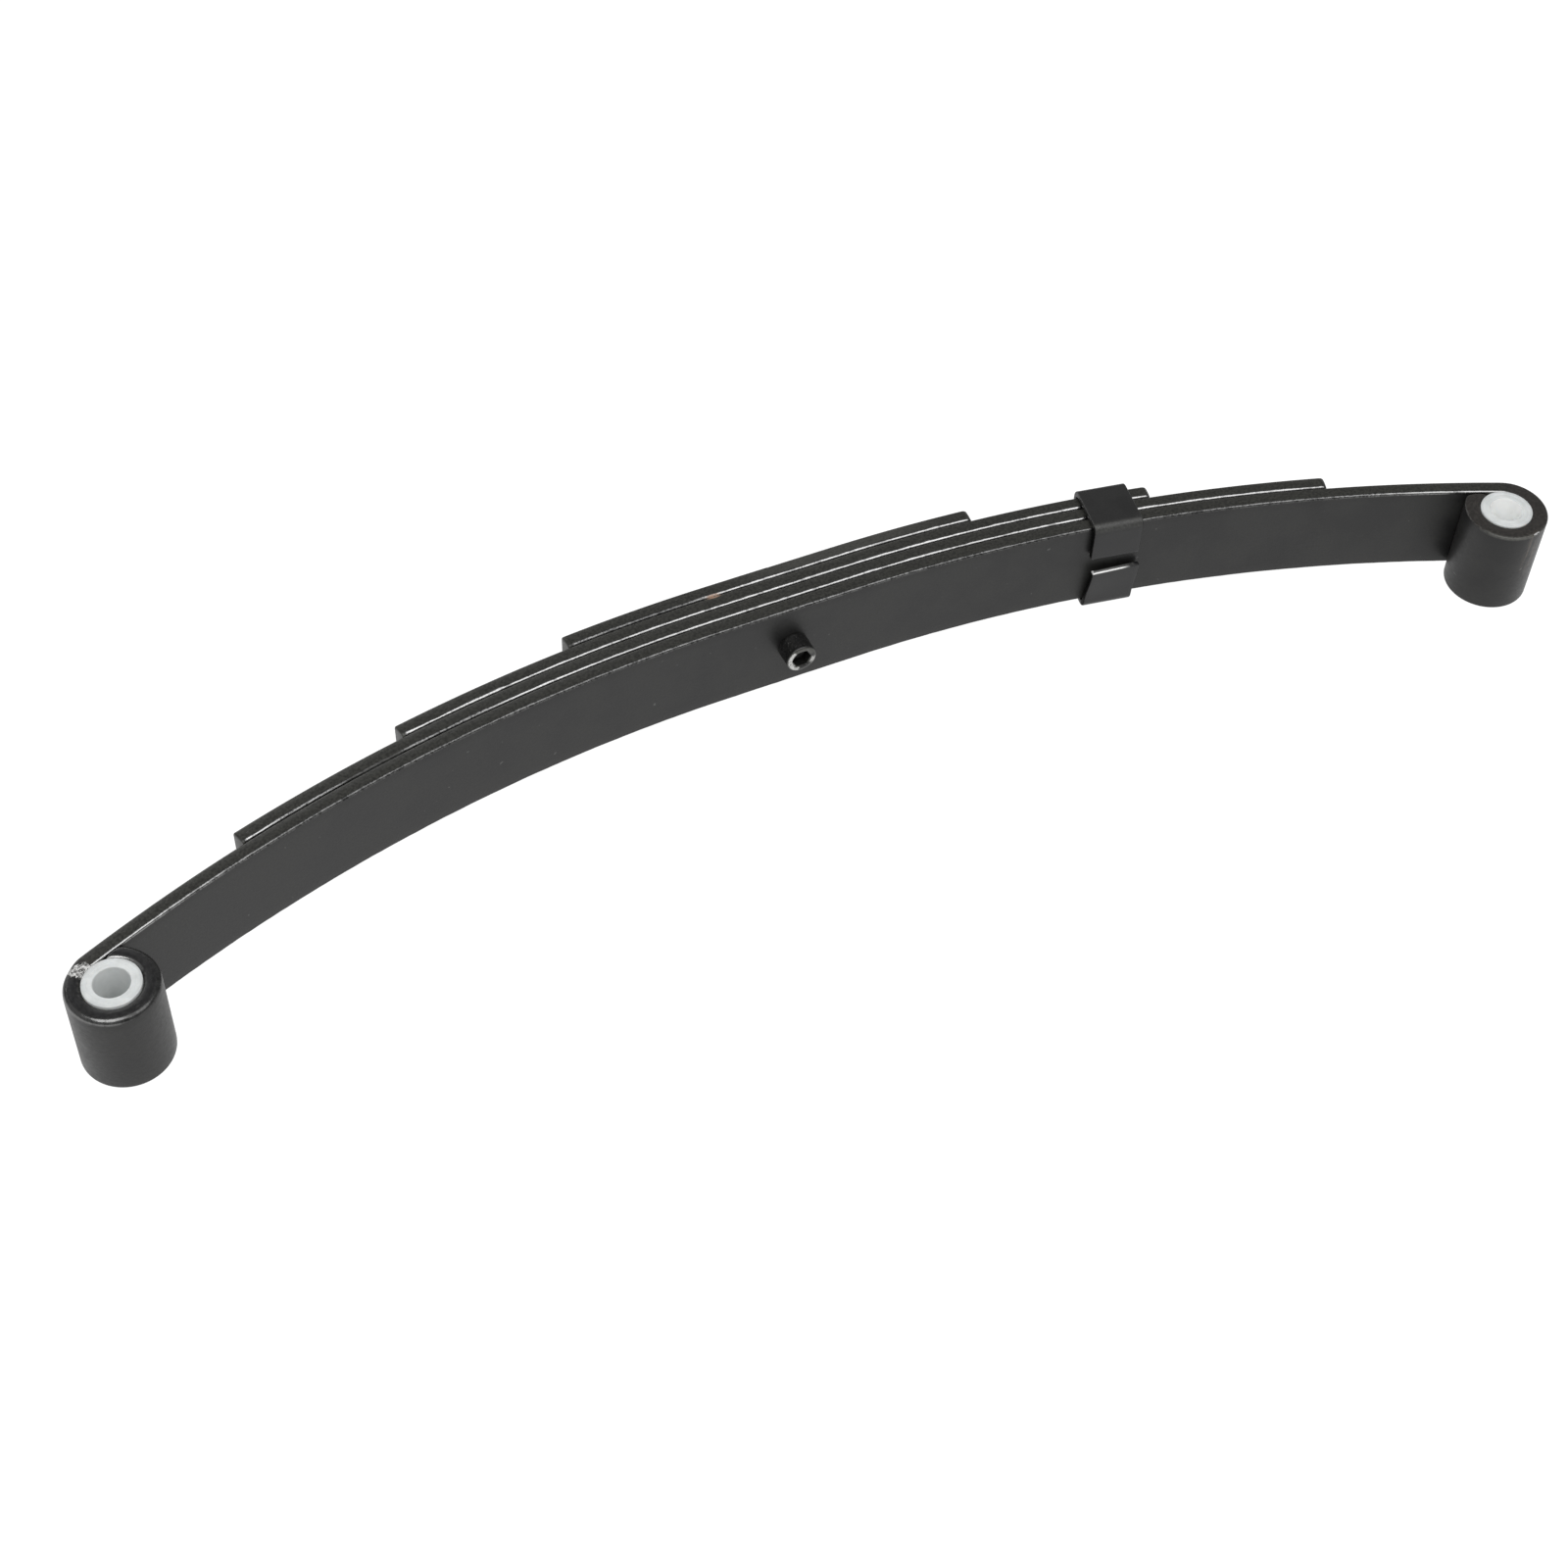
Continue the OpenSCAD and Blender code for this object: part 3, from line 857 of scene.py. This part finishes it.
def head_rings(face):
    """Rings (height, radius, wear, crest) from the socket's bottom over the face to the knurl."""
    socket = hexagon(SOCKET_FLATS)
    depths = (
        (SOCKET_DEPTH + 1.4 * MM, 0.05 * MM, 0.0),
        (SOCKET_DEPTH + 0.2 * MM, 3.4 * MM, 0.0),
        (SOCKET_DEPTH, socket, 0.0),
        (SOCKET_DEPTH / 2, socket, 0.0),
        (0.45 * MM, socket, 0.1),
        (0.10 * MM, 4.75 * MM, face_wear(0.8)),
        (0.0, 4.90 * MM, face_wear(1.0)),
        (0.0, 5.50 * MM, face_wear(0.9)),
        (0.04 * MM, SCREW_HEAD_R - 0.75 * MM, face_wear(0.9)),
        (0.14 * MM, SCREW_HEAD_R - 0.50 * MM, face_wear(0.7)),
        (0.32 * MM, SCREW_HEAD_R - 0.26 * MM, face_wear(0.35)),
        (0.62 * MM, SCREW_HEAD_R - 0.08 * MM, face_wear(0.06)),
        (0.95 * MM, SCREW_HEAD_R - 0.02 * MM, 0.0),
        (1.30 * MM, SCREW_HEAD_R, 0.0),
    )
    return [(face + depth, radius, wear, 0.0) for depth, radius, wear in depths]


def centre_bolt():
    """Socket-head screw with a diamond knurl, a hexagon socket and a rolled thread."""
    face, end = BOLT_LO.y, BOLT_HI.y
    rings = head_rings(face)
    rows = 34
    for i in range(rows + 1):
        h = lerp(face + 1.4 * MM, -1.1 * MM, i / rows)
        fading = smoothstep(i / 2) * smoothstep((rows - i) / 2)
        rings.append((h, knurled(h, fading), 0.0, 1.0))
    thread_from = STACK_T - THREAD_IN_STACK
    for h, radius in ((-0.9 * MM, SCREW_HEAD_R), (-0.15 * MM, SCREW_HEAD_R - 0.05 * MM),
                      (0.04 * MM, SCREW_HEAD_R - 0.25 * MM), (0.04 * MM, BOLT_R + 0.15 * MM),
                      (0.4 * MM, BOLT_R), (thread_from, BOLT_R)):
        rings.append((h, radius, 0.0, 0.0))
    rows = 90
    for i in range(rows + 1):
        h = lerp(thread_from, end - 0.9 * MM, i / rows)
        rings.append((h, threaded(h, smoothstep(i / 8)), 0.0, 0.6))
    rings.append((end - 0.2 * MM, BOLT_R - 0.75 * MM, 0.3, 0.0))
    rings.append((end, BOLT_R - 0.95 * MM, 0.3, 0.0))
    marks = {"worn": [ring[2] for ring in rings], "crest": [ring[3] for ring in rings]}
    outline = [ring[:2] for ring in rings]
    piece = tube_of_rings("centre_bolt_knurled", outline, 264, BOLT_FRAME, marks, STEEL,
                          closed=False, smooth=38)
    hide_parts("centre_bolt")
    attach(piece, "spring_pack")


FACE_SHARE = 0.97       # radius of a nut's face as a share of half its width across flats


def chamfered_hexagon(across_flats, from_face):
    """A hexagon whose corners are cut by a 30 degree cone, at a distance from the nut's face."""
    flats = hexagon(across_flats)
    cone = across_flats / 2 * FACE_SHARE + from_face / math.tan(math.radians(30))

    def radius(a):
        return min(flats(a), cone)
    return radius


def centre_bolt_nut():
    """Hexagon nut with chamfered corners on both faces and a countersunk bore."""
    low, high = NUT_LO.y, NUT_HI.y
    across = NUT_HI.z - NUT_LO.z
    face_r = across / 2 * FACE_SHARE
    bore, sink = BOLT_R + 0.03 * MM, 0.5 * MM
    steps = [step * MM for step in (0.15, 0.35, 0.6, 0.9, 1.25)]
    rings = [(low, bore + sink), (low, face_r)]
    rings += [(low + step, chamfered_hexagon(across, step)) for step in steps]
    rings += [(high - step, chamfered_hexagon(across, step)) for step in reversed(steps)]
    rings += [(high, face_r), (high, bore + sink), (high - sink, bore), (low + sink, bore)]
    worn = [0.0, 0.4] + [0.5] * 3 + [0.2] * 4 + [0.5] * 3 + [0.7, 0.4, 0.0, 0.0]
    marks = {"worn": worn, "crest": [0.0] * len(rings)}
    piece = tube_of_rings("centre_bolt_nut_chamfered", rings, 180, BOLT_FRAME, marks, STEEL,
                          closed=True, smooth=28)
    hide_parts("centre_bolt_nut")
    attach(piece, "spring_pack")


# ---------------------------------------------------------------------------- the rebound clip

def clip_matrix():
    """The clip's own frame: X along the leaf, Y outwards from the concave face, Z across."""
    p, _, a = arch_point(CLIP_AT)
    return Matrix.Translation((p.x, p.y, 0)) @ Matrix.Rotation(-a, 4, "Z")


def clip_place(x, y, z):
    """A point of the clip's frame and the direction of its Y axis, for drilling."""
    m = clip_matrix()
    return m @ Vector((x, y, z)), m.to_3x3() @ Vector((0, 1, 0))


def strap_path():
    """Middle line of the strap round the leaves, from the upper arm's end to the lower arm's end:
    (y, z, outward y, outward z)."""
    mid = CLIP_BEND + CLIP_T / 2
    y0, y1, zc = CLIP_FRONT + CLIP_BEND, CLIP_BACK - CLIP_BEND, CLIP_HALF - CLIP_BEND
    corners = ((y0, zc, 180), (y1, zc, 90), (y1, -zc, 0), (y0, -zc, -90))
    points = [(y0 - mid, z, -1.0, 0.0) for z in straight(UPPER_ARM_END, zc, 12)]
    bend_steps = 8
    for n, (y, z, start) in enumerate(corners):
        for i in range(bend_steps + 1):
            a = math.radians(start - 90 * i / bend_steps)
            points.append((y + mid * math.cos(a), z + mid * math.sin(a), math.cos(a), math.sin(a)))
        if n < 3:
            y2, z2, start2 = corners[n + 1]
            a = math.radians(start2)
            to = (y2 + mid * math.cos(a), z2 + mid * math.sin(a))
            here = points[-1]
            for t in (0.2, 0.4, 0.6, 0.8):
                points.append((lerp(here[0], to[0], t), lerp(here[1], to[1], t), here[2], here[3]))
    points += [(y0 - mid, z, -1.0, 0.0) for z in straight(-zc, LOWER_ARM_END, 12)[1:]]
    return points


def straight(a, b, steps):
    return [lerp(a, b, i / steps) for i in range(steps + 1)]


def dense_ends(points):
    """Adds stations close to both ends of the strap, so that its end arrises can be round."""
    def extra(end, inner):
        return [tuple(lerp(end[k], inner[k], t) for k in range(4)) for t in (0.05, 0.14, 0.28, 0.5)]
    first = [points[0]] + extra(points[0], points[1])
    last = extra(points[-1], points[-2])[::-1] + [points[-1]]
    return first + points[1:-1] + last


def strap_section(half_w, half_t):
    """Points (x, outward, arris) round the strap's section."""
    points = []
    r = CLIP_ARRIS
    w, h = half_w - r, half_t - r
    corners = ((w, h, 90), (w, -h, 0), (-w, -h, -90), (-w, h, 180))
    steps = 4
    for n, (x, o, start) in enumerate(corners):
        for i in range(steps + 1):
            t = i / steps
            a = math.radians(start - 90 * t)
            points.append((x + r * math.cos(a), o + r * math.sin(a), math.sin(t * math.pi)))
        x2, o2, start2 = corners[(n + 1) % 4]
        a2 = math.radians(start2)
        to = (x2 + r * math.cos(a2), o2 + r * math.sin(a2))
        here = points[-1]
        along = 12 if n in (1, 3) else 2
        for i in range(1, along):
            t = i / along
            points.append((lerp(here[0], to[0], t), lerp(here[1], to[1], t), 0.0))
    return points


def sheared_end(x, o, to_end):
    """How much bare steel, painted bright as a highlight, shows at the lower arm's end: on its front,
    and at its front corner.
    """
    at_end = 1 - smoothstep(to_end / (0.7 * MM))
    on_front = smoothstep((o - 0.35 * MM) / (0.6 * MM)) * smoothstep((6.5 * MM - x) / (3 * MM))
    corner = 1 - smoothstep((x + CLIP_W / 2 - 0.5 * MM) / (0.6 * MM))
    return at_end * max(on_front, corner)


def rebound_clip():
    """A strap bent round three leaves. The lower arm stands off a little more than the upper one,
    most at its front edge, and its sheared end shows bare steel painted bright as a highlight."""
    m = clip_matrix()
    path = dense_ends(strap_path())
    lower_from = -CLIP_HALF + CLIP_BEND
    verts = []
    marks = {key: [] for key in ("leaf_place", "arris", "bare", "shade", "bend_highlight")}
    for y, z, oy, oz in path:
        on_arm = oy < -0.99
        lower = on_arm and z < 0
        to_end = min(abs(z - UPPER_ARM_END), abs(z - LOWER_ARM_END)) if on_arm else FAR
        inset = quarter_inset(to_end, 0.55 * MM)
        corner_inset = quarter_inset(to_end, 0.8 * MM)
        lean = smoothstep((z - lower_from) / (LOWER_ARM_END - lower_from)) if lower else 0.0
        bent = smoothstep(2.2 * min(abs(oy), abs(oz)))
        section = strap_section(CLIP_W / 2 - inset - corner_inset, CLIP_T / 2 - inset)
        for x, o, on_arris in section:
            stand_off = lean * lerp(0.15, 1.25, 0.5 - x / CLIP_W) * MM
            verts.append(m @ Vector((x + 1.5 * MM * lean, y + oy * (o + stand_off), z + oz * o)))
            marks["leaf_place"].append((CLIP_AT + x, 0.1 + y, z))
            marks["arris"].append(on_arris)
            marks["bare"].append(sheared_end(x, o, to_end) if lower else 0.0)
            # painted shade on the cut sides of the front arms
            on_side = smoothstep((abs(x) - CLIP_W / 2 + 0.45 * MM) / (0.4 * MM))
            marks["shade"].append(on_side if oy < -0.5 else 0.0)
            # painted highlight: full on the front-top bend, and 0.22 of it as painted light over the top
            # face
            marks["bend_highlight"].append(max(bent, 0.22 * oz) if oz > 0 and oy < 0.01 else 0.0)
    faces = tube_faces(len(path), len(verts) // len(path), flip=True)
    piece = make_object("rebound_clip_strap", verts, faces, marks, CLIP_PAINT, smooth=35)
    drill(piece, *clip_place(0, CLIP_BACK + CLIP_T / 2, 0), RIVET_R, 3 * CLIP_T)
    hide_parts("rebound_clip")
    bend(piece)


def clip_rivet():
    """Button-head rivet through the strap and the third leaf."""
    base = CLIP_BACK + CLIP_T
    dome = (RIVET_HEAD_R ** 2 + RIVET_HEAD_H ** 2) / (2 * RIVET_HEAD_H)
    inner = 2 * LEAF_PITCH + 0.05 * MM
    shank, chamfer = RIVET_R - 0.01 * MM, 0.3 * MM
    rings = [(inner, RIVET_R - chamfer), (inner + chamfer, shank), (base, shank),
             (base, RIVET_HEAD_R - 0.2 * MM)]
    steps, segments = 12, 64
    for i in range(1, steps):
        a = math.asin(RIVET_HEAD_R / dome) * (1 - i / steps)
        rings.append((base + RIVET_HEAD_H - dome + dome * math.cos(a), dome * math.sin(a)))
    verts, _ = turned(rings, segments, clip_matrix() @ BOLT_FRAME, {})
    marks = {key: [0.0] * len(verts) for key in ("bare", "shade", "bend_highlight")}
    marks["leaf_place"] = [tuple(v) for v in verts]
    marks["arris"] = [0.4] * len(verts)
    faces = tube_faces(len(rings), segments)
    piece = make_object("clip_rivet_button", verts, faces, marks, CLIP_PAINT)
    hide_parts("clip_rivet")
    bend(piece)


# ---------------------------------------------------------------------------- the studio

# The photo's viewpoint: where it is from its target, and its lens and sensor in millimetres
AZIMUTH, ELEVATION, ROLL = (math.radians(a) for a in (-27.925, 49.425, 3.003))
DISTANCE = 1102.47 * MM
TARGET = Vector((-37.938, -70.365, 0.0)) * MM
LENS, SENSOR = 60.935, 36.0


def photo_camera():
    """The camera, looking at its target from the photo's direction."""
    level = Vector((math.cos(AZIMUTH), math.sin(AZIMUTH), 0))
    towards = Vector((math.sin(AZIMUTH), -math.cos(AZIMUTH), 0))
    back = towards * math.cos(ELEVATION) + Vector((0, 0, math.sin(ELEVATION)))
    up = back.cross(level)
    right = level * math.cos(ROLL) + up * math.sin(ROLL)
    up = -level * math.sin(ROLL) + up * math.cos(ROLL)
    data = bpy.data.cameras.new("camera")
    data.lens, data.sensor_width = LENS, SENSOR
    data.clip_start, data.clip_end = 0.05, 50
    camera = bpy.data.objects.new("camera", data)
    bpy.context.scene.collection.objects.link(camera)
    turn = Matrix((right, up, back)).transposed().to_4x4()
    camera.matrix_world = Matrix.Translation(TARGET + back * DISTANCE) @ turn
    bpy.context.scene.camera = camera


def softbox(name, towards, distance, width, height, radiance):
    """A rectangular lamp that faces the origin from a direction, with an even radiance."""
    direction = Vector(towards).normalized()
    data = bpy.data.lights.new(name, "AREA")
    data.shape, data.size, data.size_y = "RECTANGLE", width, height
    data.energy = radiance * math.pi * width * height
    lamp = bpy.data.objects.new(name, data)
    turn = direction.to_track_quat("Z", "Y").to_matrix().to_4x4()
    lamp.matrix_world = Matrix.Translation(direction * distance) @ turn
    bpy.context.scene.collection.objects.link(lamp)


FLOOR_HALF = 4.0
FLOOR_GLOW, ROOM_LIGHT, ROOM_COLOUR = 0.99, 0.32, grey(0.97, -0.01)
LAMP_RADIANCE = 3.0


def glowing_floor():
    """A white floor that glows evenly, so that the object throws almost no shadow on it."""
    h = FLOOR_HALF
    corners = [(x, y, FLOOR_Z) for x, y in ((-h, -h), (h, -h), (h, h), (-h, h))]
    mesh = bpy.data.meshes.new("floor")
    mesh.from_pydata(corners, [], [(0, 1, 2, 3)])
    floor = bpy.data.objects.new("floor", mesh)
    bpy.context.scene.collection.objects.link(floor)
    s = Shader("floor", Base_Color=grey(0.12), Roughness=0.9, Emission_Color=grey(1.0))
    s.set(Emission_Strength=FLOOR_GLOW)
    mesh.materials.append(s.material)


def studio():
    """A glowing floor, a dim room, a large lamp above the front and a low one behind."""
    glowing_floor()
    world = bpy.data.worlds.new("room")
    bpy.context.scene.world = world
    world.use_nodes = True
    background = world.node_tree.nodes["Background"]
    background.inputs["Color"].default_value = ROOM_COLOUR
    background.inputs["Strength"].default_value = ROOM_LIGHT

    softbox("key", (-0.06, -0.42, 0.90), 1.5, 2.7, 1.1, LAMP_RADIANCE)
    softbox("rear", (-0.25, 0.9, 0.42), 1.8, 1.6, 0.55, LAMP_RADIANCE)

    view = bpy.context.scene.view_settings
    view.view_transform, view.look = "Standard", "None"
    view.exposure, view.gamma = 0.0, 1.0


build_leaves()
for end in (FRONT, REAR):
    bush(end)
centre_bolt()
centre_bolt_nut()
rebound_clip()
clip_rivet()
photo_camera()
studio()
